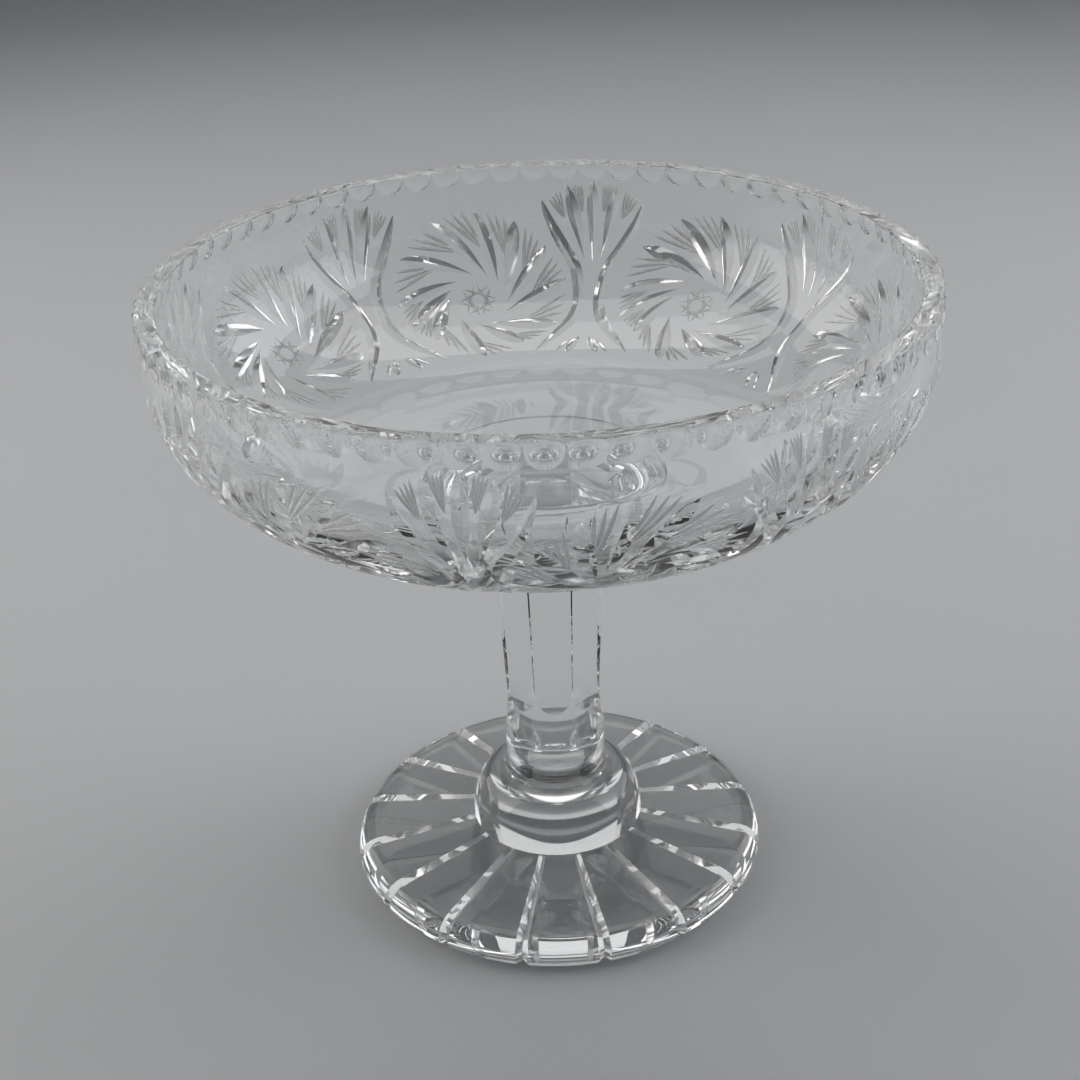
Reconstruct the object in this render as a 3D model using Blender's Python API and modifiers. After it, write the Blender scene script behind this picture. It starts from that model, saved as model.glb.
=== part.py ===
"""A pedestal fruit bowl in clear cut crystal, in metres, +Z up, standing on z = 0.

A turned bowl with a row of thumbprints under its rim and a cut pattern of pinwheels and fans is bonded to an
octagonal stem, and the stem to a domed foot with radial grooves. Two thin films of clear adhesive hold the
three pieces of glass together.
"""
import math

import bmesh
import bpy
from mathutils import Vector

# Bowl
RIM_RADIUS = 0.1200
BOWL_DEPTH = 0.0696  # outside, from the rim to the ground pad underneath
RIM_WALL = 0.0066
FLOOR_THICKNESS = 0.0096
UPRIGHT_WALL = 0.0168  # height of the upright part of the wall, below the rim
PAD_RADIUS = 0.0420  # flat ground pad under the bowl
FLOOR_RADIUS = 0.0400  # flat part of the floor inside

# Thumbprints, a row of round concave cuts that meet under the rim
THUMBPRINT_PITCH = 0.01077
THUMBPRINT_DEPTH = 0.0014
THUMBPRINT_WHEEL = 0.0110  # radius of the round-nosed wheel that cuts them
THUMBPRINT_DROP = 0.0018  # from the rim down to the middle of a print

# Mitre cuts on the outside of the bowl, laid out flat. A place in the layout is how far it lies to the
# right of its motif's middle line, as seen from inside, and how far down the wall it lies from the rim.
MOTIFS = 8
LAYOUT_INSET = 0.0060  # from the rim in to where the layout is true: further down it narrows with the wall
MITRE = 0.80  # depth of a cut as a share of its half width
CUTTER_STRETCH = 0.013098  # longest straight stretch of a cutter
PINWHEEL_AZIMUTH = math.radians(57.2)
PINWHEEL_DROP = 0.0525
VANE_ANGLES = (112, 87, 62, 37, 12, -21, -51, -97, -145, -163, -184, -218)  # degrees, to a vane's tip
VANE_REACHES = (
    0.0364, 0.0369, 0.0357, 0.0350, 0.0364, 0.0352, 0.0278, 0.0282, 0.0275, 0.0326, 0.0331, 0.0342
)
VANE_OFFSET = 0.0098  # how far a vane's line passes from the middle of its pinwheel
VANE_BOW = 0.0010
VANE_HALF_WIDTH = 0.0023
VANE_FULLEST = 0.68  # where a vane is widest, as a share of its length
PETAL_HALF_WIDTH = 0.0024
PETAL_FULLEST = 0.70
CENTRE_PETAL = ((0.0, 0.0450), (0.0, 0.0064))
SIDE_PETAL = ((0.0017, 0.0440), (0.0092, 0.0080))
BRACKET_HALF_WIDTH = 0.0021
BRACKET_FULLEST = 0.42
BRACKET_ASIDES = (0.0183, 0.0152, 0.0108, 0.0066, 0.0049, 0.0042, 0.0045, 0.0068, 0.0120, 0.0182, 0.0240)
BRACKET_DROPS = (0.0138, 0.0230, 0.0320, 0.0398, 0.0460, 0.0520, 0.0576, 0.0635, 0.0695, 0.0750, 0.0800)
LEAF_HALF_WIDTH = 0.0017
LEAF_FULLEST = 0.50
LEAF = ((0.0021, 0.0715), (0.0080, 0.0810))

# Stem
STEM_LENGTH = 0.1039
DISC_RADIUS = 0.0386
DISC_EDGE = 0.0048
FLARE_HEIGHT = 0.0300
SHAFT_TOP_RADIUS = 0.0186  # at the arrises, where the flare starts
COLLAR_RADIUS = 0.0168
COLLAR_HEIGHT = 0.0135
FACETS = 8
FACET_RUN_OUT = 0.0170  # length over which a facet rises out of the glass above the collar
FACET_END_ANGLE = math.radians(52)  # how far round the flare's quarter ellipse the facets reach
FACET_LIFT = 1.3  # fall of the facet's depth along the flare, over 1 so that it rises clear at its end
ARRIS_TRIM = 0.0002  # extra depth that makes neighbouring facets meet in a crisp edge

# Foot
FOOT_RADIUS = 0.0702
FOOT_HEIGHT = 0.0345
FOOT_EDGE_HEIGHT = 0.0036  # height of the widest line of the edge
BASE_INSET = 0.0027  # from the widest line in to the ground base
SHOULDER_INSET = 0.0078  # from the widest line in to the shoulder
SHOULDER_HEIGHT = 0.0108
PLATE_RISE = 0.0041  # from the shoulder up to the root of the dome
DOME_SWELL = 0.0102  # how far the dome spreads below its top
COLLAR_LEDGE = 0.0010  # width of the first ring step outside the collar
RING_LEDGE = 0.0012  # width of the second ring step
RING_STEP = 0.0014  # height of a ring step
GROOVES = 16
GROOVE_HALF_WIDTH = 0.0020  # at the edge of the foot
GROOVE_ROOT_SHARE = 0.58  # width at the dome as a share of the width at the edge

# Bonds
BOND_THICKNESS = 0.0004
BOND_GAP = 0.0003  # clearance between a film and the glass on each side of it
BOND_INSET = 0.0010  # how far a film stops short of the edge that it bonds

# Resolution of the round shapes
STEM_STEPS = 48
FOOT_STEPS = 64
BOND_SIDES = 48
WALL_ARCS = 8
FLARE_ARCS = 7
DOME_ARCS = 5
SHOULDER_ARCS = 3
RUN_OUT_ARCS = 4
PRINT_SEGMENTS = 8
PRINT_RINGS = 10
VANE_SEGMENTS = 3
PETAL_SEGMENTS = 3
LEAF_SEGMENTS = 2
WALL_TRACE = 0.001  # step of angle in which lengths along the wall are added up
ROUTE_STEP = 0.01  # share of a cut's length over which its direction is taken

# Sizes of the layout that follow from the bowl: a cutter stands out of the wall by as much as the wall, at
# its tightest bend, bulges over the cutter's longest stretch
LAYOUT_RADIUS = RIM_RADIUS - LAYOUT_INSET
CUT_COVER = CUTTER_STRETCH**2 * (RIM_RADIUS - PAD_RADIUS) / (8 * (BOWL_DEPTH - UPRIGHT_WALL) ** 2)

# Heights that follow from the stack of pieces
BOND_STACK = BOND_THICKNESS + 2 * BOND_GAP
STEM_Z = FOOT_HEIGHT + BOND_STACK
BOWL_Z = STEM_Z + STEM_LENGTH + BOND_STACK

WELD = 0.00001
MERGE = 0.0001
CLEAR = 0.0020  # how far a cutter reaches past the glass that it cuts
QUARTER_TURN = math.pi / 2


def arc(centre, radii, start, end, count):
    """Points on an ellipse about centre, from the start angle to the end angle, both included."""
    points = []
    for index in range(count + 1):
        angle = start + (end - start) * index / count
        points.append((centre[0] + radii[0] * math.cos(angle), centre[1] + radii[1] * math.sin(angle)))
    return points


def glass(name, colour, roughness):
    """Clear crystal or adhesive: a transmitting surface with a little tint."""
    material = bpy.data.materials.new(name)
    material.use_nodes = True
    shader = material.node_tree.nodes["Principled BSDF"]
    shader.inputs["Base Color"].default_value = (*colour, 1.0)
    shader.inputs["Roughness"].default_value = roughness
    shader.inputs["Metallic"].default_value = 0.0
    shader.inputs["Transmission Weight"].default_value = 1.0
    shader.inputs["IOR"].default_value = 1.54
    return material


def collection(name, parent):
    made = bpy.data.collections.new(name)
    parent.children.link(made)
    return made


def turned(name, profile, steps, z, material):
    """A solid turned about +Z from a profile of (radius, height) points that runs down its outer side."""
    mesh = bpy.data.meshes.new(name)
    points = [(radius, 0.0, height) for radius, height in profile]
    mesh.from_pydata(points, [(index, index + 1) for index in range(len(points) - 1)], [])
    part = bpy.data.objects.new(name, mesh)
    part.location.z = z
    part.data.materials.append(material)
    PARTS.objects.link(part)
    screw = part.modifiers.new("Turn", "SCREW")
    screw.axis = "Z"
    screw.angle = math.tau
    screw.steps = steps
    screw.render_steps = steps
    screw.use_merge_vertices = True
    screw.merge_threshold = MERGE
    screw.use_smooth_shade = True
    return part


def cutter_object(name, mesh, group):
    cutter = bpy.data.objects.new(name, mesh)
    cutter.hide_render = True
    cutter.display_type = "WIRE"
    group.objects.link(cutter)
    return cutter


def mesh_from_curve(curve, name):
    """The closed mesh of a filled curve, with its caps welded to its sides. The curve is removed."""
    guide = bpy.data.objects.new(name, curve)
    bpy.context.scene.collection.objects.link(guide)
    evaluated = guide.evaluated_get(bpy.context.evaluated_depsgraph_get())
    mesh = bpy.data.meshes.new_from_object(evaluated)
    bpy.data.objects.remove(guide)
    shape = bmesh.new()
    shape.from_mesh(mesh)
    bmesh.ops.remove_doubles(shape, verts=shape.verts, dist=WELD)
    bmesh.ops.recalc_face_normals(shape, faces=shape.faces)
    shape.to_mesh(mesh)
    shape.free()
    return mesh


def cut(part, group):
    boolean = part.modifiers.new("Cuts", "BOOLEAN")
    boolean.operation = "DIFFERENCE"
    boolean.solver = "EXACT"
    boolean.operand_type = "COLLECTION"
    boolean.collection = group


def thumbprint_cutters(group):
    """One ball for each print, standing outside the wall so that it bites to the print's depth."""
    count = round(math.tau * RIM_RADIUS / THUMBPRINT_PITCH)
    shape = bmesh.new()
    bmesh.ops.create_uvsphere(
        shape, u_segments=PRINT_SEGMENTS, v_segments=PRINT_RINGS, radius=THUMBPRINT_WHEEL
    )
    ball = bpy.data.meshes.new("thumbprint_ball")
    shape.to_mesh(ball)
    shape.free()
    stand_off = RIM_RADIUS - THUMBPRINT_DEPTH + THUMBPRINT_WHEEL
    for index in range(count):
        angle = math.tau * (index + 0.5) / count
        cutter = cutter_object(f"thumbprint_cutter_{index + 1:02d}", ball, group)
        cutter.location = (
            stand_off * math.cos(angle),
            stand_off * math.sin(angle),
            BOWL_Z + BOWL_DEPTH - THUMBPRINT_DROP,
        )
        cutter.rotation_euler = (0.0, QUARTER_TURN, angle)
    return count


def wall_at(drop):
    """Radius, height and outward direction of the outside of the bowl, this far below the rim along it."""
    wall_foot = BOWL_DEPTH - UPRIGHT_WALL
    reach = RIM_RADIUS - PAD_RADIUS
    angle = 0.0
    left = drop - UPRIGHT_WALL
    if left <= 0.0:
        return RIM_RADIUS, BOWL_DEPTH - drop, Vector((1.0, 0.0))
    while left > 0.0 and angle < QUARTER_TURN:
        left -= WALL_TRACE * math.hypot(reach * math.sin(angle), wall_foot * math.cos(angle))
        angle += WALL_TRACE
    outward = Vector((wall_foot * math.cos(angle), -reach * math.sin(angle))).normalized()
    return PAD_RADIUS + reach * math.cos(angle), wall_foot * (1.0 - math.sin(angle)), outward


def on_wall(azimuth, place, out):
    """A place of the layout in space, lifted off the wall by this much."""
    radius, height, outward = wall_at(place[1])
    turn = azimuth - place[0] / LAYOUT_RADIUS
    reach = radius + outward.x * out
    return (reach * math.cos(turn), reach * math.sin(turn), height + outward.y * out)


def straight(tail, tip, bow=0.0):
    """A route from tail to tip, bowed to one side by this much at its middle."""
    tail, tip = Vector(tail), Vector(tip)
    side = (tip - tail).orthogonal().normalized()
    return lambda share: tail.lerp(tip, share) + side * bow * 4 * share * (1.0 - share)


def mitre_cutters(group, name, azimuth, route, half_width, fullest, segments):
    """A V-shaped cut along a route of the layout, pointed at both ends, in each motif round the wall."""
    lean = math.log(0.5) / math.log(fullest)
    shape = bmesh.new()
    rings = []
    for index in range(segments + 1):
        share = index / segments
        fullness = 1.0 - (2.0 * share**lean - 1.0) ** 2
        keel = half_width * MITRE * fullness - CUT_COVER * (1.0 - fullness)
        here = route(share)
        narrowing = wall_at(here.y)[0] / LAYOUT_RADIUS
        ahead = route(min(share + ROUTE_STEP, 1.0)) - route(max(share - ROUTE_STEP, 0.0))
        ahead.x *= narrowing
        side = ahead.orthogonal().normalized() * (keel + CUT_COVER) / MITRE
        side.x /= narrowing
        corners = ((here + side, CUT_COVER), (here - side, CUT_COVER), (here, -keel))
        rings.append([shape.verts.new(on_wall(azimuth, *corner)) for corner in corners])
    for ring, following in zip(rings, rings[1:]):
        for corner in range(3):
            shape.faces.new((ring[corner - 1], ring[corner], following[corner], following[corner - 1]))
    bmesh.ops.remove_doubles(shape, verts=shape.verts, dist=WELD)
    bmesh.ops.triangulate(shape, faces=shape.faces)
    bmesh.ops.recalc_face_normals(shape, faces=shape.faces)
    mesh = bpy.data.meshes.new(name)
    shape.to_mesh(mesh)
    shape.free()
    for motif in range(MOTIFS):
        cutter = cutter_object(f"{name}_cutter_{motif + 1}", mesh, group)
        cutter.location.z = BOWL_Z
        cutter.rotation_euler.z = math.tau * motif / MOTIFS


def pinwheel_place(radius, angle):
    """The place at this radius and angle from the middle of a pinwheel."""
    return (radius * math.cos(angle), PINWHEEL_DROP - radius * math.sin(angle))


def pinwheel_cutters(group):
    """Vanes that all pass the middle of the pinwheel on the same side, so that it seems to spin."""
    for index, (angle, reach) in enumerate(zip(VANE_ANGLES, VANE_REACHES)):
        turn = math.radians(angle)
        tail = pinwheel_place(VANE_OFFSET, turn - math.acos(VANE_OFFSET / reach))
        route = straight(tail, pinwheel_place(reach, turn), VANE_BOW)
        size = (VANE_HALF_WIDTH, VANE_FULLEST, VANE_SEGMENTS)
        mitre_cutters(group, f"vane_{index + 1:02d}", PINWHEEL_AZIMUTH, route, *size)


def bracket(side):
    """The route that sweeps down past the waist of a fan and out below the pinwheel on this side."""
    spans = len(BRACKET_DROPS) - 1
    places = [Vector((side * aside, drop)) for aside, drop in zip(BRACKET_ASIDES, BRACKET_DROPS)]

    def route(share):
        index = min(int(share * spans), spans - 1)
        return places[index].lerp(places[index + 1], share * spans - index)

    return route


def fan_cutters(group):
    """Three petals, two brackets and two small leaves, midway between two pinwheels."""
    azimuth = PINWHEEL_AZIMUTH + math.pi / MOTIFS
    petal_size = (PETAL_HALF_WIDTH, PETAL_FULLEST, PETAL_SEGMENTS)
    mitre_cutters(group, "centre_petal", azimuth, straight(*CENTRE_PETAL), *petal_size)
    for word, side in (("left", -1), ("right", 1)):
        petal = [(side * aside, drop) for aside, drop in SIDE_PETAL]
        mitre_cutters(group, f"{word}_petal", azimuth, straight(*petal), *petal_size)
        size = (BRACKET_HALF_WIDTH, BRACKET_FULLEST, len(BRACKET_DROPS) - 1)
        mitre_cutters(group, f"{word}_bracket", azimuth, bracket(side), *size)
        leaf = [(side * aside, drop) for aside, drop in LEAF]
        size = (LEAF_HALF_WIDTH, LEAF_FULLEST, LEAF_SEGMENTS)
        mitre_cutters(group, f"{word}_leaf", azimuth, straight(*leaf), *size)


def bowl():
    """The bowl: upright at the rim, then a quarter ellipse in to the pad, with a thicker floor."""
    inner_radius = RIM_RADIUS - RIM_WALL
    wall_foot = BOWL_DEPTH - UPRIGHT_WALL
    inside = arc(
        (FLOOR_RADIUS, wall_foot),
        (inner_radius - FLOOR_RADIUS, wall_foot - FLOOR_THICKNESS),
        -QUARTER_TURN,
        0.0,
        WALL_ARCS,
    )
    outside = arc(
        (PAD_RADIUS, wall_foot), (RIM_RADIUS - PAD_RADIUS, wall_foot), 0.0, -QUARTER_TURN, WALL_ARCS
    )
    rim = [(inner_radius, BOWL_DEPTH), (RIM_RADIUS, BOWL_DEPTH)]
    profile = [(0.0, FLOOR_THICKNESS), *inside, *rim, *outside, (0.0, 0.0)]
    wheels = collection("bowl_cutters", CUTTERS)
    steps = thumbprint_cutters(wheels)
    pinwheel_cutters(wheels)
    fan_cutters(wheels)
    cut(turned("bowl", profile, steps, BOWL_Z, CRYSTAL), wheels)


def facet_outline():
    """One facet in the plane of radius and height: it rises out of the collar, runs up the shaft and
    follows the flare to where it ends. Outside it, the outline stands clear of the glass."""
    flare_foot = STEM_LENGTH - DISC_EDGE - FLARE_HEIGHT
    flare_reach = DISC_RADIUS - SHAFT_TOP_RADIUS
    share = 1.0 - math.cos(math.pi / FACETS)
    points = []
    for index in range(RUN_OUT_ARCS + 2):
        height = FACET_RUN_OUT * (index - 1) / RUN_OUT_ARCS
        depth = (COLLAR_RADIUS * share + ARRIS_TRIM) * (1.0 - (1.0 - height / FACET_RUN_OUT) ** 2)
        points.append((COLLAR_RADIUS - depth, COLLAR_HEIGHT + height))
    full_depth = SHAFT_TOP_RADIUS * share + ARRIS_TRIM
    for index in range(FLARE_ARCS + 1):
        angle = FACET_END_ANGLE * index / FLARE_ARCS
        across = (FLARE_HEIGHT * math.cos(angle), -flare_reach * math.sin(angle))
        length = math.hypot(*across)
        depth = full_depth * (1.0 - FACET_LIFT * (index / FLARE_ARCS) ** 2)
        radius = DISC_RADIUS - flare_reach * math.cos(angle) - depth * across[0] / length
        height = flare_foot + FLARE_HEIGHT * math.sin(angle) - depth * across[1] / length
        points.append((radius, height))
    far = DISC_RADIUS + CLEAR
    return [*points, (far, points[-1][1]), (far, points[0][1])]


def facet_cutters(group):
    curve = bpy.data.curves.new("facet_outline", "CURVE")
    curve.dimensions = "2D"
    curve.fill_mode = "BOTH"
    curve.extrude = DISC_RADIUS * math.sin(math.pi / FACETS)
    outline = facet_outline()
    spline = curve.splines.new("POLY")
    spline.points.add(len(outline) - 1)
    for point, (radius, height) in zip(spline.points, outline):
        point.co = (radius, height, 0.0, 1.0)
    spline.use_cyclic_u = True
    mesh = mesh_from_curve(curve, "facet_guide")
    for index in range(FACETS):
        cutter = cutter_object(f"facet_cutter_{index + 1}", mesh, group)
        cutter.location.z = STEM_Z
        cutter.rotation_euler = (QUARTER_TURN, 0.0, math.tau * index / FACETS)


def stem():
    """The stem: a disc to carry the bowl, a trumpet flare, an octagonal shaft and a round collar."""
    flare_foot = STEM_LENGTH - DISC_EDGE - FLARE_HEIGHT
    flare = arc(
        (DISC_RADIUS, flare_foot),
        (SHAFT_TOP_RADIUS - DISC_RADIUS, FLARE_HEIGHT),
        QUARTER_TURN,
        0.0,
        FLARE_ARCS,
    )
    profile = [
        (0.0, STEM_LENGTH),
        (DISC_RADIUS, STEM_LENGTH),
        *flare,
        (COLLAR_RADIUS, COLLAR_HEIGHT),
        (COLLAR_RADIUS, 0.0),
        (0.0, 0.0),
    ]
    facets = collection("facet_cutters", CUTTERS)
    facet_cutters(facets)
    cut(turned("stem", profile, STEM_STEPS, STEM_Z, CRYSTAL), facets)


def foot_edge():
    """The upper side of the foot from the root of the dome out over the shoulder to its widest line."""
    shoulder = FOOT_RADIUS - SHOULDER_INSET
    root = COLLAR_RADIUS + COLLAR_LEDGE + RING_LEDGE + DOME_SWELL
    return [
        (root, SHOULDER_HEIGHT + PLATE_RISE),
        *arc(
            (shoulder, FOOT_EDGE_HEIGHT),
            (SHOULDER_INSET, SHOULDER_HEIGHT - FOOT_EDGE_HEIGHT),
            QUARTER_TURN,
            0.0,
            SHOULDER_ARCS,
        ),
    ]


def groove_cutters(group):
    """Mitre grooves: a square bar on its corner along the upper side of the foot, wider at the edge."""
    edge = foot_edge()
    widest = edge[-1]
    base = (FOOT_RADIUS - BASE_INSET, 0.0)
    below = (2 * base[0] - widest[0], 2 * base[1] - widest[1])
    route = [*edge, base, below]
    curve = bpy.data.curves.new("groove_route", "CURVE")
    curve.dimensions = "3D"
    curve.bevel_depth = GROOVE_HALF_WIDTH
    curve.bevel_resolution = 0
    curve.use_fill_caps = True
    spline = curve.splines.new("POLY")
    spline.points.add(len(route) - 1)
    for point, (radius, height) in zip(spline.points, route):
        point.co = (radius, 0.0, height, 1.0)
        point.radius = 1.0
    spline.points[0].radius = GROOVE_ROOT_SHARE
    mesh = mesh_from_curve(curve, "groove_guide")
    for index in range(GROOVES):
        cutter = cutter_object(f"groove_cutter_{index + 1:02d}", mesh, group)
        cutter.rotation_euler.z = math.tau * (index + 0.5) / GROOVES


def foot():
    """The foot: ring steps that seat the collar, a dome, a plate, a rounded edge and a ground base."""
    step = COLLAR_RADIUS + COLLAR_LEDGE
    dome_top = step + RING_LEDGE
    dome_root = SHOULDER_HEIGHT + PLATE_RISE
    dome_height = FOOT_HEIGHT - RING_STEP - dome_root
    dome = arc((dome_top, dome_root), (DOME_SWELL, dome_height), QUARTER_TURN, 0.0, DOME_ARCS)
    profile = [
        (0.0, FOOT_HEIGHT),
        (step, FOOT_HEIGHT),
        (step, FOOT_HEIGHT - RING_STEP),
        *dome,
        *foot_edge()[1:],
        (FOOT_RADIUS - BASE_INSET, 0.0),
        (0.0, 0.0),
    ]
    grooves = collection("groove_cutters", CUTTERS)
    groove_cutters(grooves)
    cut(turned("foot", profile, FOOT_STEPS, 0.0, CRYSTAL), grooves)


def bond(name, radius, z):
    """A film of clear adhesive between two ground faces."""
    bpy.ops.mesh.primitive_cylinder_add(
        vertices=BOND_SIDES,
        radius=radius - BOND_INSET,
        depth=BOND_THICKNESS,
        location=(0.0, 0.0, z + BOND_GAP + BOND_THICKNESS / 2),
    )
    film = bpy.context.object
    film.name = name
    film.data.materials.append(ADHESIVE)
    for group in film.users_collection:
        group.objects.unlink(film)
    PARTS.objects.link(film)


for leftover in list(bpy.data.objects):
    bpy.data.objects.remove(leftover)

PARTS = collection("pedestal_fruit_bowl", bpy.context.scene.collection)
CUTTERS = collection("cutters", bpy.context.scene.collection)
CUTTERS.hide_render = True
CRYSTAL = glass("crystal", (0.97, 0.98, 0.99), 0.02)
ADHESIVE = glass("adhesive", (0.96, 0.97, 0.96), 0.08)

foot()
bond("foot_bond", COLLAR_RADIUS, FOOT_HEIGHT)
stem()
bond("bowl_bond", min(DISC_RADIUS, PAD_RADIUS), STEM_Z + STEM_LENGTH)
bowl()
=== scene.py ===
import math

import bmesh
import bpy
from mathutils import Matrix, Vector


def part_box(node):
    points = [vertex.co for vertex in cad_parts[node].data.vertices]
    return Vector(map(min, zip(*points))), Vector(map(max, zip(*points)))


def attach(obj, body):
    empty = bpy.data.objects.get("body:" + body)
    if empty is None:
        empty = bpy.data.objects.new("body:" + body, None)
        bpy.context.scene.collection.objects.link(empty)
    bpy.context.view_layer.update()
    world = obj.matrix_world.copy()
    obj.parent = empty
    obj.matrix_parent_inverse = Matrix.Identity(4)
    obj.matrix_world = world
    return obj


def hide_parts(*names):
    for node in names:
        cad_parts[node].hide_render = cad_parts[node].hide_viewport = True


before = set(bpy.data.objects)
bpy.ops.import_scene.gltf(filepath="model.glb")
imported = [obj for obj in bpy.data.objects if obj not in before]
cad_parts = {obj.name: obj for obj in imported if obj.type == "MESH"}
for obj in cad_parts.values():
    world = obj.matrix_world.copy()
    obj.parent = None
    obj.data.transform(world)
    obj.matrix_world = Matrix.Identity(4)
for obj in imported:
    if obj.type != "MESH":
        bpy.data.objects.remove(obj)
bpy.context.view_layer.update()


# The bowl blank: a heavy bowl of clear lead crystal, blown in a mould and ground flat at its rim and at the
# pad underneath. Its wall stands upright at the rim and turns in to the pad as a quarter ellipse. Hand
# polishing leaves the surface very slightly wavy, with a trace of haze.
bowl_low, bowl_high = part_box("bowl")
RIM_RADIUS = bowl_high.x
RIM_Z = bowl_high.z
PAD_Z = bowl_low.z
UPRIGHT = 0.0168
RIM_WALL = 0.0066
PAD_RADIUS = 0.0420
FLOOR_RADIUS = 0.0400
FLOOR_THICKNESS = 0.0096
RIM_EASE = 0.0006  # the polished edges of the rim are eased by this much
EASE_SHARE = 0.3  # how far the middle of an eased edge lies along it
BOWL_STEPS = 256
WALL_POINTS = 44
INSIDE_POINTS = 8
OUTSIDE_POINTS = 9
WELD = 0.000002
BEND_Z = RIM_Z - UPRIGHT
CRYSTAL_INDEX = 1.545
CRYSTAL_TINT = (0.970, 0.985, 0.990)
CRYSTAL_CLEAREST = (0.995, 0.998, 1.0)
BOWL_POLISH = (0.0, 0.020)  # roughness, from the clearest places to the haziest
BOWL_WAVE = (0.030, 0.0002)  # size and height of the waviness that polishing leaves


def deselect():
    """Leaves object mode clean, so that an operator acts only on the piece being made."""
    if bpy.context.mode != "OBJECT":
        bpy.ops.object.mode_set(mode="OBJECT")
    bpy.ops.object.select_all(action="DESELECT")


def curve_points(centre, radii, start, end, count):
    """Points on an ellipse about centre, from the start angle to the end angle in degrees."""
    points = []
    for index in range(count + 1):
        angle = math.radians(start + (end - start) * index / count)
        points.append((centre[0] + radii[0] * math.cos(angle), centre[1] + radii[1] * math.sin(angle)))
    return points


def turned(name, outline, steps):
    """A piece turned about the axis, from (radius, height) points that start and end on it."""
    deselect()
    bpy.ops.mesh.primitive_plane_add(size=0.001)
    piece = bpy.context.object
    piece.name = name
    bpy.ops.object.mode_set(mode="EDIT")
    bpy.ops.mesh.merge(type="CENTER")
    bpy.ops.transform.translate(value=(outline[0][0], 0.0, outline[0][1]))
    for (radius, height), (next_radius, next_height) in zip(outline, outline[1:]):
        step = (next_radius - radius, 0.0, next_height - height)
        bpy.ops.mesh.extrude_region_move(TRANSFORM_OT_translate={"value": step})
    bpy.ops.mesh.select_all(action="SELECT")
    bpy.ops.mesh.spin(steps=steps, angle=math.tau, center=(0.0, 0.0, 0.0), axis=(0.0, 0.0, 1.0))
    bpy.ops.mesh.select_all(action="SELECT")
    bpy.ops.mesh.remove_doubles(threshold=WELD)
    bpy.ops.mesh.normals_make_consistent(inside=False)
    bpy.ops.object.mode_set(mode="OBJECT")
    return piece


def upright_points(radius, top, bottom, count):
    """Points on an upright wall, between its two ends."""
    return [(radius, top + (bottom - top) * index / count) for index in range(1, count)]


inner_radius = RIM_RADIUS - RIM_WALL
bowl_outline = [
    (0.0, PAD_Z + FLOOR_THICKNESS),
    (FLOOR_RADIUS / 2, PAD_Z + FLOOR_THICKNESS),
    *curve_points(
        (FLOOR_RADIUS, BEND_Z),
        (inner_radius - FLOOR_RADIUS, BEND_Z - PAD_Z - FLOOR_THICKNESS),
        -90,
        0,
        WALL_POINTS,
    ),
    *upright_points(inner_radius, BEND_Z, RIM_Z - RIM_EASE, INSIDE_POINTS),
    (inner_radius, RIM_Z - RIM_EASE),
    (inner_radius + RIM_EASE * EASE_SHARE, RIM_Z - RIM_EASE * EASE_SHARE),
    (inner_radius + RIM_EASE, RIM_Z),
    (RIM_RADIUS - RIM_EASE, RIM_Z),
    (RIM_RADIUS - RIM_EASE * EASE_SHARE, RIM_Z - RIM_EASE * EASE_SHARE),
    (RIM_RADIUS, RIM_Z - RIM_EASE),
    *upright_points(RIM_RADIUS, RIM_Z - RIM_EASE, BEND_Z, OUTSIDE_POINTS),
    *curve_points((PAD_RADIUS, BEND_Z), (RIM_RADIUS - PAD_RADIUS, BEND_Z - PAD_Z), 0, -90, WALL_POINTS),
    (PAD_RADIUS / 2, PAD_Z),
    (0.0, PAD_Z),
]


def crystal(name, tint, polish_range, wave_range, clarity=1.0):
    """Clear lead crystal: the faintest tint, clouds of haze and a slight waviness."""
    material = bpy.data.materials.new(name)
    material.use_nodes = True
    nodes = material.node_tree.nodes
    links = material.node_tree.links
    shader = nodes["Principled BSDF"]
    shader.inputs["Transmission Weight"].default_value = clarity
    shader.inputs["IOR"].default_value = CRYSTAL_INDEX
    place = nodes.new("ShaderNodeTexCoord")
    cloud = nodes.new("ShaderNodeTexNoise")
    cloud.inputs["Scale"].default_value = 45.0
    cloud.inputs["Detail"].default_value = 3.0
    colour = nodes.new("ShaderNodeValToRGB")
    colour.color_ramp.elements[0].color = (*tint, 1.0)
    colour.color_ramp.elements[1].color = (*CRYSTAL_CLEAREST, 1.0)
    polish = nodes.new("ShaderNodeMapRange")
    polish.inputs["From Min"].default_value = 0.35
    polish.inputs["From Max"].default_value = 0.75
    polish.inputs["To Min"].default_value = polish_range[0]
    polish.inputs["To Max"].default_value = polish_range[1]
    wave = nodes.new("ShaderNodeTexNoise")
    wave.inputs["Scale"].default_value = 1.0 / wave_range[0]
    wave.inputs["Detail"].default_value = 1.0
    bump = nodes.new("ShaderNodeBump")
    bump.inputs["Strength"].default_value = 0.35
    bump.inputs["Distance"].default_value = wave_range[1]
    links.new(place.outputs["Object"], cloud.inputs["Vector"])
    links.new(place.outputs["Object"], wave.inputs["Vector"])
    links.new(cloud.outputs["Fac"], colour.inputs["Fac"])
    links.new(cloud.outputs["Fac"], polish.inputs["Value"])
    links.new(wave.outputs["Fac"], bump.inputs["Height"])
    links.new(colour.outputs["Color"], shader.inputs["Base Color"])
    links.new(polish.outputs["Result"], shader.inputs["Roughness"])
    links.new(bump.outputs["Normal"], shader.inputs["Normal"])
    return material


bowl = turned("cut_bowl", bowl_outline, BOWL_STEPS)
bowl.data.materials.append(crystal("bowl_crystal", CRYSTAL_TINT, BOWL_POLISH, BOWL_WAVE))


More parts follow.
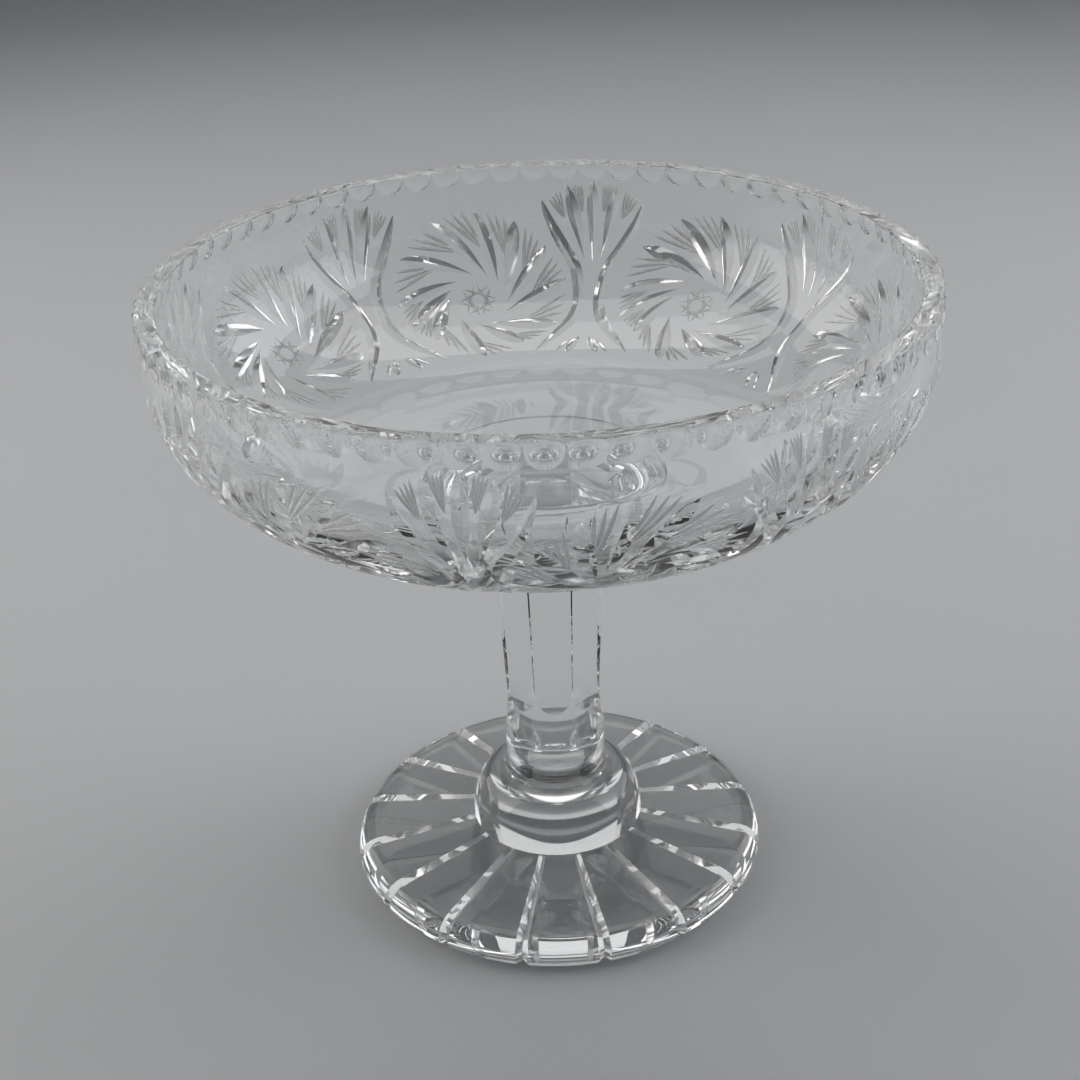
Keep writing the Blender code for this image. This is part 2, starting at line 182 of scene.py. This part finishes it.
# The pinwheels on the bowl: eight of them, ground into the outside with mitre wheels. Every cut is a
# V-shaped leaf, laid out flat and then wrapped on to the wall. The wide vanes are polished bright and the
# fine feathers and stars are left satin from the wheel.
REPEATS = 8
LAYOUT_INSET = 0.0060
LAYOUT_RADIUS = RIM_RADIUS - LAYOUT_INSET  # where the layout is true: further down it narrows with the wall
PINWHEEL_AZIMUTH = math.radians(57.2)
PINWHEEL_DROP = 0.0525  # along the wall, from the rim to the middle of a pinwheel
FAN_AZIMUTH = PINWHEEL_AZIMUTH + math.pi / REPEATS
VANE_ANGLES = (112, 87, 62, 37, 12, -21, -51, -97, -145, -163, -184, -218)  # degrees, to a vane's tip
VANE_REACHES = (
    0.0364, 0.0369, 0.0357, 0.0350, 0.0364, 0.0352, 0.0278, 0.0282, 0.0275, 0.0326, 0.0331, 0.0342
)
VANE_OFFSET = 0.0098  # how far a vane's line passes from the middle of the pinwheel
VANE_HALF_WIDTH = 0.0026
VANE_SWELL = 2.6  # over 2, a cut keeps its width for longer before it comes to a point
VANE_FULLEST = 0.68  # where a vane is widest, as a share of its length
VANE_BOW = 0.0010
FEATHER_ROOT = 0.0190  # distance from the middle at which the feathers leave their vane
FEATHER_SHARES = (0.27, 0.48, 0.69)  # where their tips lie, as shares of the way to the next vane
FEATHER_HALF_WIDTH = 0.00070
STAR_POINTS = 8
STAR_SKIP = 3  # each line of a star runs from one point to the third one round
STAR_RADIUS = 0.0081
STAR_HALF_WIDTH = 0.00060
LINE_FULLEST = 0.62
VANE_STATIONS = 14
LINE_STATIONS = 7
STAR_STATIONS = 6
ROUTE_STEP = 0.01  # share of a cut's length over which its direction is taken
WHEEL_PASSES = 4  # cuts that touch one another are ground in different passes
MITRE = 0.80  # depth of a cut as a share of its half width
COVER = 0.16  # how far a cutter stands out of the glass, as a share of its depth
WALL_TRACE = 400
POLISHED_CUT = (0.030, 0.080)
SATIN_CUT = (0.350, 0.500)
POLISHED_CLARITY = 0.85
SATIN_CLARITY = 0.35
trace_step = math.pi / 2 / WALL_TRACE
wall_steps = [(0.0, 0.0)]  # distance along the wall below its bend, and angle round its quarter ellipse
for index in range(1, WALL_TRACE + 1):
    angle = trace_step * index
    middle = angle - trace_step / 2
    run = math.hypot((RIM_RADIUS - PAD_RADIUS) * math.sin(middle), (BEND_Z - PAD_Z) * math.cos(middle))
    wall_steps.append((wall_steps[-1][0] + run * trace_step, angle))


def wall_at(drop):
    """Radius, height and outward normal of the outside at this distance below the rim, along the wall."""
    if drop <= UPRIGHT:
        return RIM_RADIUS, RIM_Z - drop, (1.0, 0.0)
    along = drop - UPRIGHT
    low, high = 0, len(wall_steps) - 1
    while high - low > 1:
        half = (low + high) // 2
        if wall_steps[half][0] <= along:
            low = half
        else:
            high = half
    share = (along - wall_steps[low][0]) / (wall_steps[high][0] - wall_steps[low][0])
    angle = wall_steps[low][1] + share * (wall_steps[high][1] - wall_steps[low][1])
    across, down = RIM_RADIUS - PAD_RADIUS, BEND_Z - PAD_Z
    normal = Vector((down * math.cos(angle), -across * math.sin(angle))).normalized()
    return PAD_RADIUS + across * math.cos(angle), BEND_Z - down * math.sin(angle), tuple(normal)


def on_wall(azimuth, aside, drop, out):
    """A point of the layout on the bowl: aside runs to the right as seen from inside, out is off the wall."""
    radius, height, normal = wall_at(drop)
    turn = azimuth - aside / LAYOUT_RADIUS
    reach = radius + normal[0] * out
    return Vector((reach * math.cos(turn), reach * math.sin(turn), height + normal[1] * out))


def leaf_stations(count, fullest, swell):
    """(place along the cut, fullness) pairs: pointed at both ends, fullest at this share of the length."""
    stations = []
    for index in range(count + 1):
        share = (1.0 - math.cos(math.pi * index / count)) / 2
        lean = math.log(0.5) / math.log(fullest)
        stations.append((share, 1.0 - abs(2.0 * share**lean - 1.0) ** swell))
    return stations


def add_cut(tool, azimuth, route, half_width, count, fullest=0.5, swell=2.0):
    """One V-shaped cut along a flat route, a function from 0..1 to (aside, drop), in all repeats."""
    depth = half_width * MITRE
    cover = depth * COVER
    stations = leaf_stations(count, fullest, swell)
    sections = []
    for share, fullness in stations[1:-1]:
        here = Vector(route(share))
        ahead = Vector(route(min(1.0, share + ROUTE_STEP))) - Vector(route(max(0.0, share - ROUTE_STEP)))
        narrowing = wall_at(here.y)[0] / LAYOUT_RADIUS
        keel = depth * fullness - cover * (1.0 - fullness)
        side = Vector((-ahead.y, ahead.x * narrowing)).normalized() * (keel + cover) / MITRE
        side.x /= narrowing
        sections.append((here + side, here - side, here, cover, -keel))
    ends = [Vector(route(0.0)), Vector(route(1.0))]
    for repeat in range(REPEATS):
        turn = azimuth + math.tau * repeat / REPEATS
        first = tool.verts.new(on_wall(turn, *ends[0], cover))
        last = tool.verts.new(on_wall(turn, *ends[1], cover))
        rings = []
        for left, right, middle, top, bottom in sections:
            rings.append([
                tool.verts.new(on_wall(turn, *left, top)),
                tool.verts.new(on_wall(turn, *right, top)),
                tool.verts.new(on_wall(turn, *middle, bottom)),
            ])
        for corner in range(3):
            following = (corner + 1) % 3
            tool.faces.new((first, rings[0][following], rings[0][corner]))
            tool.faces.new((last, rings[-1][corner], rings[-1][following]))
            for ring, next_ring in zip(rings, rings[1:]):
                tool.faces.new((ring[corner], ring[following], next_ring[following], next_ring[corner]))


def grind(piece, tool, name, finish):
    """Takes the cuts of one tool mesh out of a piece, gives them their finish and removes the tool."""
    bmesh.ops.recalc_face_normals(tool, faces=tool.faces)
    mesh = bpy.data.meshes.new(name)
    tool.to_mesh(mesh)
    tool.free()
    mesh.materials.append(finish)
    wheel = bpy.data.objects.new(name, mesh)
    bpy.context.scene.collection.objects.link(wheel)
    cut = piece.modifiers.new(name, "BOOLEAN")
    cut.operation = "DIFFERENCE"
    cut.solver = "MANIFOLD"
    cut.material_mode = "TRANSFER"
    cut.object = wheel
    deselect()
    bpy.context.view_layer.objects.active = piece
    bpy.ops.object.modifier_apply(modifier=name)
    bpy.data.objects.remove(wheel)


def straight(tail, tip, bow=0.0):
    """A route from tail to tip, bowed to one side by this much at its middle."""
    tail, tip = Vector(tail), Vector(tip)
    side = Vector((-(tip - tail).y, (tip - tail).x)).normalized()
    return lambda share: tail.lerp(tip, share) + side * bow * 4 * share * (1.0 - share)


def pinwheel_point(radius, angle):
    """A layout point at this radius and angle in degrees from the middle of the pinwheel."""
    turn = math.radians(angle)
    return (radius * math.cos(turn), PINWHEEL_DROP - radius * math.sin(turn))


polished = crystal("polished_cut", CRYSTAL_TINT, POLISHED_CUT, (0.008, 0.0001), POLISHED_CLARITY)
satin = crystal("satin_cut", CRYSTAL_TINT, SATIN_CUT, (0.004, 0.0001), SATIN_CLARITY)
cuts = [bmesh.new() for _ in range(WHEEL_PASSES)]
lines = [bmesh.new() for _ in range(WHEEL_PASSES)]
for index, (angle, reach) in enumerate(zip(VANE_ANGLES, VANE_REACHES)):
    lean = math.degrees(math.acos(VANE_OFFSET / reach))
    vane = straight(pinwheel_point(VANE_OFFSET, angle - lean), pinwheel_point(reach, angle), VANE_BOW)
    add_cut(cuts[index % 2], PINWHEEL_AZIMUTH, vane, VANE_HALF_WIDTH, VANE_STATIONS, VANE_FULLEST, VANE_SWELL)
    root = vane(math.sqrt((FEATHER_ROOT**2 - VANE_OFFSET**2) / (reach**2 - VANE_OFFSET**2)))
    gap = (VANE_ANGLES[index - 1] - angle) % 360
    for line, share in zip(lines, FEATHER_SHARES):
        feather_reach = reach + (VANE_REACHES[index - 1] - reach) * share
        feather = straight(root, pinwheel_point(feather_reach, angle + gap * share))
        add_cut(line, PINWHEEL_AZIMUTH, feather, FEATHER_HALF_WIDTH, LINE_STATIONS, LINE_FULLEST)
for index in range(STAR_POINTS):
    ends = [90 + 360 * (index + step) / STAR_POINTS for step in (0, STAR_SKIP)]
    chord = straight(*[pinwheel_point(STAR_RADIUS, angle) for angle in ends])
    add_cut(lines[index % WHEEL_PASSES], PINWHEEL_AZIMUTH, chord, STAR_HALF_WIDTH, STAR_STATIONS)


# The fans between the pinwheels: three long petals and two brackets that sweep round the pinwheels on either
# side, groups of fine lines between their tips, and four small leaves below the waist, all cut with the same
# wheels and finished in the same two ways.
PETAL_HALF_WIDTH = 0.0024
PETAL_FULLEST = 0.70
CENTRE_PETAL = ((0.0, 0.0450), (0.0, 0.0064))
SIDE_PETAL = ((0.0017, 0.0440), (0.0092, 0.0080))
BRACKET_HALF_WIDTH = 0.0022
BRACKET_FULLEST = 0.42
BRACKET_SWELL = 4.0
BRACKET_ASIDES = (0.0183, 0.0152, 0.0108, 0.0066, 0.0049, 0.0042, 0.0045, 0.0068, 0.0120, 0.0182, 0.0240)
BRACKET_DROPS = (0.0138, 0.0230, 0.0320, 0.0398, 0.0460, 0.0520, 0.0576, 0.0635, 0.0695, 0.0750, 0.0800)
FAN_LINE_HALF_WIDTH = 0.00062
INNER_LINES = ((0.0034, 0.0205), (0.0040, 0.0078), (0.0074, 0.0086))  # root, first tip and last tip
OUTER_LINES = ((0.0095, 0.0228), (0.0120, 0.0100), (0.0160, 0.0134))
LEAF = ((0.0021, 0.0715), (0.0080, 0.0810))
LEAF_HALF_WIDTH = 0.0017
THIN_LEAF = ((0.0055, 0.0730), (0.0130, 0.0800))
THIN_LEAF_HALF_WIDTH = 0.0008
PETAL_STATIONS = 18
BRACKET_STATIONS = 44
LEAF_STATIONS = 10


def bracket(side):
    """The smooth route of a bracket, from its petal tip past the waist and out below the pinwheel."""
    def route(share):
        place = share * (len(BRACKET_DROPS) - 1)
        index = min(int(place), len(BRACKET_DROPS) - 2)
        part = place - index
        values = []
        for row in (BRACKET_ASIDES, BRACKET_DROPS):
            before = row[max(index - 1, 0)]
            start, end = row[index], row[index + 1]
            after = row[min(index + 2, len(row) - 1)]
            values.append(start + 0.5 * part * (
                end - before + part * (
                    2 * before - 5 * start + 4 * end - after + part * (3 * (start - end) + after - before)
                )
            ))
        return (side * values[0], values[1])
    return route


def sided(places, side):
    """The places of one half of the fan, on this side of its middle line."""
    return [Vector((side * aside, drop)) for aside, drop in places]


add_cut(cuts[0], FAN_AZIMUTH, straight(*CENTRE_PETAL), PETAL_HALF_WIDTH, PETAL_STATIONS, PETAL_FULLEST)
for side in (-1, 1):
    petal, leaf, thin_leaf = [straight(*sided(places, side)) for places in (SIDE_PETAL, LEAF, THIN_LEAF)]
    add_cut(
        cuts[2],
        FAN_AZIMUTH,
        bracket(side),
        BRACKET_HALF_WIDTH,
        BRACKET_STATIONS,
        BRACKET_FULLEST,
        BRACKET_SWELL,
    )
    add_cut(cuts[3], FAN_AZIMUTH, petal, PETAL_HALF_WIDTH, PETAL_STATIONS, PETAL_FULLEST)
    add_cut(cuts[3], FAN_AZIMUTH, leaf, LEAF_HALF_WIDTH, LEAF_STATIONS)
    add_cut(cuts[3], FAN_AZIMUTH, thin_leaf, THIN_LEAF_HALF_WIDTH, LEAF_STATIONS)
    for group in (INNER_LINES, OUTER_LINES):
        root, first, last = sided(group, side)
        for index, line in enumerate(lines):
            tip = first.lerp(last, index / (len(lines) - 1))
            add_cut(line, FAN_AZIMUTH, straight(root, tip), FAN_LINE_HALF_WIDTH, LINE_STATIONS, LINE_FULLEST)
for index, tool in enumerate(cuts):
    grind(bowl, tool, f"cut_{index}", polished)
for index, tool in enumerate(lines):
    grind(bowl, tool, f"line_{index}", satin)


# The thumbprints: a row of round hollows under the rim, cut with a round-nosed wheel so that they meet in
# cusps and scallop the edge of the rim. They are polished as clear as the wall, and with them the bowl is
# finished.
PRINTS = 70
PRINT_WHEEL = 0.0110
PRINT_DEPTH = 0.0014
PRINT_DROP = 0.0018  # from the rim down to the middle of a print
PRINT_SEGMENTS = 32
PRINT_RINGS = 48
BOWL_CREASE = math.radians(16)  # edges sharper than this stay crisp
for parity in (0, 1):
    wheel = bmesh.new()
    for index in range(parity, PRINTS, 2):
        turn = math.tau * (index + 0.5) / PRINTS
        reach = RIM_RADIUS - PRINT_DEPTH + PRINT_WHEEL
        place = Matrix.Translation((reach * math.cos(turn), reach * math.sin(turn), RIM_Z - PRINT_DROP))
        aim = Matrix.Rotation(turn, 4, "Z") @ Matrix.Rotation(math.pi / 2, 4, "Y")
        bmesh.ops.create_uvsphere(
            wheel, u_segments=PRINT_SEGMENTS, v_segments=PRINT_RINGS, radius=PRINT_WHEEL, matrix=place @ aim
        )
    grind(bowl, wheel, f"thumbprint_{parity}", bowl.data.materials[0])
deselect()
bowl.select_set(True)
bpy.context.view_layer.objects.active = bowl
bpy.ops.object.shade_smooth_by_angle(angle=BOWL_CREASE)
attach(bowl, "root")
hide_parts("bowl")


# The stem: a solid drawn stem of the same crystal, with a disc that carries the bowl, a trumpet flare, eight
# facets ground flat along its shaft, and a plain round collar that is bonded to the foot.
stem_low, stem_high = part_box("stem")
DISC_RADIUS = stem_high.x
DISC_EDGE = 0.0048
FLARE_HEIGHT = 0.0300
SHAFT_TOP_RADIUS = 0.0186
COLLAR_RADIUS = 0.0168
COLLAR_HEIGHT = 0.0135
FACETS = 8
FACET_RUN_OUT = 0.0170  # length over which a facet rises out of the glass above the collar
FACET_END = math.radians(52)  # how far round the flare the facets reach
FACET_LIFT = 1.3  # fall of a facet's depth along the flare, over 1 so that it rises clear at its end
ARRIS_TRIM = 0.0002  # extra depth that makes neighbouring facets meet in a crisp edge
CLEAR = 0.0020  # how far a facet's cutter stands clear of the disc
EASE = 0.0005
STEM_STEPS = 192
FLARE_TOP = 88
FLARE_POINTS = 40
SHAFT_POINTS = 12
RUN_OUT_POINTS = 12
RUN_OUT_LEAD = 2  # points of a run-out that lie outside the glass
FACET_POINTS = 24
STEM_WAVE = (0.020, 0.0002)
STEM_CREASE = math.radians(6)
collar_top = stem_low.z + COLLAR_HEIGHT
flare_foot = stem_high.z - DISC_EDGE - FLARE_HEIGHT
flare_reach = DISC_RADIUS - SHAFT_TOP_RADIUS
stem_outline = [
    (0.0, stem_high.z),
    (DISC_RADIUS - EASE, stem_high.z),
    (DISC_RADIUS, stem_high.z - EASE),
    (DISC_RADIUS, stem_high.z - DISC_EDGE + EASE),
    *curve_points((DISC_RADIUS, flare_foot), (-flare_reach, FLARE_HEIGHT), FLARE_TOP, 0, FLARE_POINTS),
    *[
        (
            SHAFT_TOP_RADIUS + (COLLAR_RADIUS - SHAFT_TOP_RADIUS) * index / SHAFT_POINTS,
            flare_foot + (collar_top - flare_foot) * index / SHAFT_POINTS,
        )
        for index in range(1, SHAFT_POINTS + 1)
    ],
    (COLLAR_RADIUS, stem_low.z + EASE),
    (COLLAR_RADIUS - EASE, stem_low.z),
    (0.0, stem_low.z),
]
stem = turned("fluted_stem", stem_outline, STEM_STEPS)
stem.data.materials.append(crystal("stem_crystal", CRYSTAL_TINT, BOWL_POLISH, STEM_WAVE))
facet_share = 1.0 - math.cos(math.pi / FACETS)
facet_outline = []
for index in range(-RUN_OUT_LEAD, RUN_OUT_POINTS + 1):
    rise = FACET_RUN_OUT * index / RUN_OUT_POINTS
    depth = (COLLAR_RADIUS * facet_share + ARRIS_TRIM) * (1.0 - (1.0 - rise / FACET_RUN_OUT) ** 2)
    facet_outline.append((COLLAR_RADIUS - depth, collar_top + rise))
for index in range(FACET_POINTS + 1):
    angle = FACET_END * index / FACET_POINTS
    across = Vector((FLARE_HEIGHT * math.cos(angle), -flare_reach * math.sin(angle))).normalized()
    depth = (SHAFT_TOP_RADIUS * facet_share + ARRIS_TRIM) * (1.0 - FACET_LIFT * (index / FACET_POINTS) ** 2)
    radius = DISC_RADIUS - flare_reach * math.cos(angle)
    height = flare_foot + FLARE_HEIGHT * math.sin(angle)
    facet_outline.append(tuple(Vector((radius, height)) - across * depth))
facet_outline.append((DISC_RADIUS + CLEAR, facet_outline[-1][1]))
facet_outline.append((DISC_RADIUS + CLEAR, facet_outline[0][1]))
facet_half_width = DISC_RADIUS * math.sin(math.pi / FACETS)
for parity in (0, 1):
    wheel = bmesh.new()
    for index in range(parity, FACETS, 2):
        turn = Matrix.Rotation(math.tau * index / FACETS, 4, "Z")
        corners = [turn @ Vector((radius, -facet_half_width, height)) for radius, height in facet_outline]
        face = wheel.faces.new([wheel.verts.new(corner) for corner in corners])
        swept = bmesh.ops.extrude_face_region(wheel, geom=[face])
        moved = [part for part in swept["geom"] if isinstance(part, bmesh.types.BMVert)]
        bmesh.ops.translate(wheel, verts=moved, vec=turn @ Vector((0.0, 2 * facet_half_width, 0.0)))
    grind(stem, wheel, f"facet_{parity}", stem.data.materials[0])
deselect()
stem.select_set(True)
bpy.context.view_layer.objects.active = stem
bpy.ops.object.shade_smooth_by_angle(angle=STEM_CREASE)
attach(stem, "root")
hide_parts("stem")


# The foot: a pressed and ground disc of crystal with a domed hub, two fine ring steps that seat the collar, a
# rounded edge, and sixteen radial mitre grooves that run from the dome over the shoulder and down the edge.
foot_low, foot_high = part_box("foot")
FOOT_RADIUS = 0.0702
FOOT_EDGE_HEIGHT = 0.0036  # height of the widest line of the edge
BASE_INSET = 0.0027  # from the widest line in to the ground base
BASE_EASE = 0.0004
BASE_EASE_HEIGHT = 0.0002
SHOULDER_INSET = 0.0078
SHOULDER_HEIGHT = 0.0108
PLATE_RISE = 0.0041  # from the shoulder up to the root of the dome
DOME_SWELL = 0.0102  # how far the dome spreads below its top
COLLAR_LEDGE = 0.0010  # width of the first ring step, outside the collar
RING_LEDGE = 0.0012  # width of the second ring step
RING_STEP = 0.0014
GROOVES = 16
GROOVE_HALF_WIDTH = 0.0020  # at the edge of the foot
GROOVE_DEPTH = 0.0017
GROOVE_ROOT_SHARE = 0.58  # width at the dome as a share of the width at the edge
GROOVE_COVER = 0.2  # how far the cutter stands out of the glass, as a share of its depth
FOOT_STEPS = 192
PLATE_POINTS = 10
SHOULDER_POINTS = 14
DOME_POINTS = 18
FOOT_POLISH = (0.0, 0.022)
FOOT_WAVE = (0.024, 0.0002)
FOOT_CREASE = math.radians(20)
step_radius = COLLAR_RADIUS + COLLAR_LEDGE
dome_top = step_radius + RING_LEDGE
dome_root = SHOULDER_HEIGHT + PLATE_RISE
shoulder_radius = FOOT_RADIUS - SHOULDER_INSET
plate = [
    (
        dome_top + DOME_SWELL + (shoulder_radius - dome_top - DOME_SWELL) * index / PLATE_POINTS,
        dome_root - PLATE_RISE * index / PLATE_POINTS,
    )
    for index in range(PLATE_POINTS)
]
edge = curve_points(
    (shoulder_radius, FOOT_EDGE_HEIGHT),
    (SHOULDER_INSET, SHOULDER_HEIGHT - FOOT_EDGE_HEIGHT),
    90,
    0,
    SHOULDER_POINTS,
)
foot_outline = [
    (0.0, foot_high.z),
    (step_radius - EASE / 2, foot_high.z),
    (step_radius, foot_high.z - EASE / 2),
    (step_radius, foot_high.z - RING_STEP),
    *curve_points(
        (dome_top, dome_root), (DOME_SWELL, foot_high.z - RING_STEP - dome_root), 90, 0, DOME_POINTS
    ),
    *plate[1:],
    *edge,
    (FOOT_RADIUS - BASE_INSET, foot_low.z + BASE_EASE_HEIGHT),
    (FOOT_RADIUS - BASE_INSET - BASE_EASE, foot_low.z),
    (0.0, foot_low.z),
]
foot = turned("grooved_foot", foot_outline, FOOT_STEPS)
foot.data.materials.append(crystal("foot_crystal", CRYSTAL_TINT, FOOT_POLISH, FOOT_WAVE))
base_corner = Vector((FOOT_RADIUS - BASE_INSET, foot_low.z))
groove_route = [*plate, *edge, tuple(base_corner), tuple(2 * base_corner - Vector(edge[-1]))]
wheel = bmesh.new()
for index in range(GROOVES):
    turn = Matrix.Rotation(math.tau * (index + 0.5) / GROOVES, 4, "Z")
    rings = []
    for place, (radius, height) in enumerate(groove_route):
        before = Vector(groove_route[max(place - 1, 0)])
        after = Vector(groove_route[min(place + 1, len(groove_route) - 1)])
        away = Vector((-(after - before).y, (after - before).x)).normalized()
        fullness = min(1.0, GROOVE_ROOT_SHARE + (1.0 - GROOVE_ROOT_SHARE) * place / len(plate))
        lift = GROOVE_DEPTH * GROOVE_COVER
        spread = GROOVE_HALF_WIDTH * (fullness + GROOVE_COVER)
        top = Vector((radius, height)) + away * lift
        keel = Vector((radius, height)) - away * GROOVE_DEPTH * fullness
        rings.append([
            wheel.verts.new(turn @ Vector((top.x, spread, top.y))),
            wheel.verts.new(turn @ Vector((top.x, -spread, top.y))),
            wheel.verts.new(turn @ Vector((keel.x, 0.0, keel.y))),
        ])
    wheel.faces.new(rings[0])
    wheel.faces.new(reversed(rings[-1]))
    for ring, next_ring in zip(rings, rings[1:]):
        for corner in range(3):
            following = (corner + 1) % 3
            wheel.faces.new((ring[corner], next_ring[corner], next_ring[following], ring[following]))
grind(foot, wheel, "groove", polished)
deselect()
foot.select_set(True)
bpy.context.view_layer.objects.active = foot
bpy.ops.object.shade_smooth_by_angle(angle=FOOT_CREASE)
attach(foot, "root")
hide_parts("foot")


# The two bonds: clear adhesive cured under ultraviolet light, a thin round film between ground faces with
# a softly rounded edge where it is squeezed out.
FILM_STEPS = 128
FILM_EDGE_POINTS = 8
FILM_TINT = (0.965, 0.975, 0.965)
FILM_POLISH = (0.0, 0.050)
FILM_WAVE = (0.012, 0.0001)
FILM_CREASE = math.radians(30)
FILM_REACH = 0.00033  # the film wets the glass: it reaches just into the ground face on each side
for node, name in (("bowl_bond", "bowl_bond_film"), ("foot_bond", "foot_bond_film")):
    film_low, film_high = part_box(node)
    middle = (film_low.z + film_high.z) / 2
    half = (film_high.z - film_low.z) / 2 + FILM_REACH
    film_outline = [
        (0.0, middle + half),
        *curve_points((film_high.x - half, middle), (half, half), 90, -90, FILM_EDGE_POINTS),
        (0.0, middle - half),
    ]
    film = turned(name, film_outline, FILM_STEPS)
    deselect()
    film.select_set(True)
    bpy.context.view_layer.objects.active = film
    bpy.ops.object.shade_smooth_by_angle(angle=FILM_CREASE)
    film.data.materials.append(crystal(f"{name}_adhesive", FILM_TINT, FILM_POLISH, FILM_WAVE))
    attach(film, "root")
    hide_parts(node)


# The table: a plain pale matt surface that fills the view and takes the bowl's shadow. Its colour is very
# slightly uneven, as a painted board is.
TABLE_SIZE = 8.0
TABLE_MIDDLE = (0.0, 1.0, 0.0)
TABLE_DARK = (0.36, 0.365, 0.375)
TABLE_PALE = (0.38, 0.385, 0.395)
TABLE_ROUGHNESS = 0.6
bpy.ops.mesh.primitive_plane_add(size=TABLE_SIZE, location=TABLE_MIDDLE)
table = bpy.context.object
table.name = "pale_table"
matt = bpy.data.materials.new("pale_matt")
matt.use_nodes = True
matt_nodes = matt.node_tree.nodes
matt_shader = matt_nodes["Principled BSDF"]
matt_shader.inputs["Roughness"].default_value = TABLE_ROUGHNESS
grain = matt_nodes.new("ShaderNodeTexNoise")
grain.inputs["Scale"].default_value = 6.0
grain_colour = matt_nodes.new("ShaderNodeValToRGB")
grain_colour.color_ramp.elements[0].color = (*TABLE_DARK, 1.0)
grain_colour.color_ramp.elements[1].color = (*TABLE_PALE, 1.0)
grain_place = matt_nodes.new("ShaderNodeTexCoord")
matt.node_tree.links.new(grain_place.outputs["Object"], grain.inputs["Vector"])
matt.node_tree.links.new(grain.outputs["Fac"], grain_colour.inputs["Fac"])
matt.node_tree.links.new(grain_colour.outputs["Color"], matt_shader.inputs["Base Color"])
table.data.materials.append(matt)


# The light: a dim even room, one broad soft box overhead, a tall one on each side and a weak one behind,
# so that the cuts flash white against the table and the rim shines.
ROOM_COLOUR = (0.92, 0.96, 1.0)
ROOM_STRENGTH = 0.12
world = bpy.data.worlds.new("studio")
bpy.context.scene.world = world
world.use_nodes = True
room = world.node_tree.nodes["Background"]
room.inputs["Color"].default_value = (*ROOM_COLOUR, 1.0)
room.inputs["Strength"].default_value = ROOM_STRENGTH
# name, place, what it faces, width, height, glow and colour
SOFT_BOXES = (
    ("overhead", (0.0, 0.40, 1.15), (0.0, 0.30, 0.15), 1.40, 0.60, 4.2, (1.0, 0.99, 0.97)),
    ("back", (0.0, 1.10, 0.66), (0.0, 0.00, 0.20), 1.10, 0.50, 2.0, (1.0, 1.0, 1.0)),
    ("left", (-0.95, 0.20, 0.52), (0.0, 0.10, 0.20), 1.30, 0.95, 4.4, (1.0, 0.985, 0.96)),
    ("right", (0.95, 0.20, 0.52), (0.0, 0.10, 0.20), 1.30, 0.95, 4.4, (0.96, 0.98, 1.0)),
)
BOX_LAYERS = (1.0, 0.8, 0.6)  # each box glows most in its middle, like a lamp behind a diffuser
for name, place, target, width, height, glow, colour in SOFT_BOXES:
    for layer in BOX_LAYERS:
        lamp = bpy.data.lights.new(f"soft_box_{name}", "AREA")
        lamp.shape = "RECTANGLE"
        lamp.size = width * layer
        lamp.size_y = height * layer
        lamp.energy = glow / len(BOX_LAYERS) * math.pi * lamp.size * lamp.size_y
        lamp.color = colour
        box = bpy.data.objects.new(f"soft_box_{name}", lamp)
        box.location = place
        box.rotation_euler = (Vector(target) - Vector(place)).to_track_quat("-Z", "Y").to_euler()
        bpy.context.scene.collection.objects.link(box)


# The camera: in front of the bowl and above its rim, where the photograph was taken. It looks down on the
# object and is level but for a slight roll.
CAMERA_PLACE = (0.0, -0.5129, 0.3940)
CAMERA_PAN = math.radians(-0.277)
CAMERA_PITCH = math.radians(28.146)
CAMERA_ROLL = math.radians(-2.311)
CAMERA_LENS = 59.97
camera_data = bpy.data.cameras.new("photograph")
camera_data.sensor_width = 36.0
camera_data.lens = CAMERA_LENS
camera_data.clip_start = 0.01
camera = bpy.data.objects.new("photograph", camera_data)
camera.location = CAMERA_PLACE
look = Vector((
    math.sin(CAMERA_PAN) * math.cos(CAMERA_PITCH),
    math.cos(CAMERA_PAN) * math.cos(CAMERA_PITCH),
    -math.sin(CAMERA_PITCH),
))
camera.rotation_mode = "QUATERNION"
roll = Matrix.Rotation(CAMERA_ROLL, 3, "Z").to_quaternion()
camera.rotation_quaternion = look.to_track_quat("-Z", "Y") @ roll
bpy.context.scene.collection.objects.link(camera)
scene = bpy.context.scene
scene.camera = camera
scene.view_settings.view_transform = "Standard"
scene.cycles.max_bounces = 32
scene.cycles.transmission_bounces = 32
scene.cycles.glossy_bounces = 12
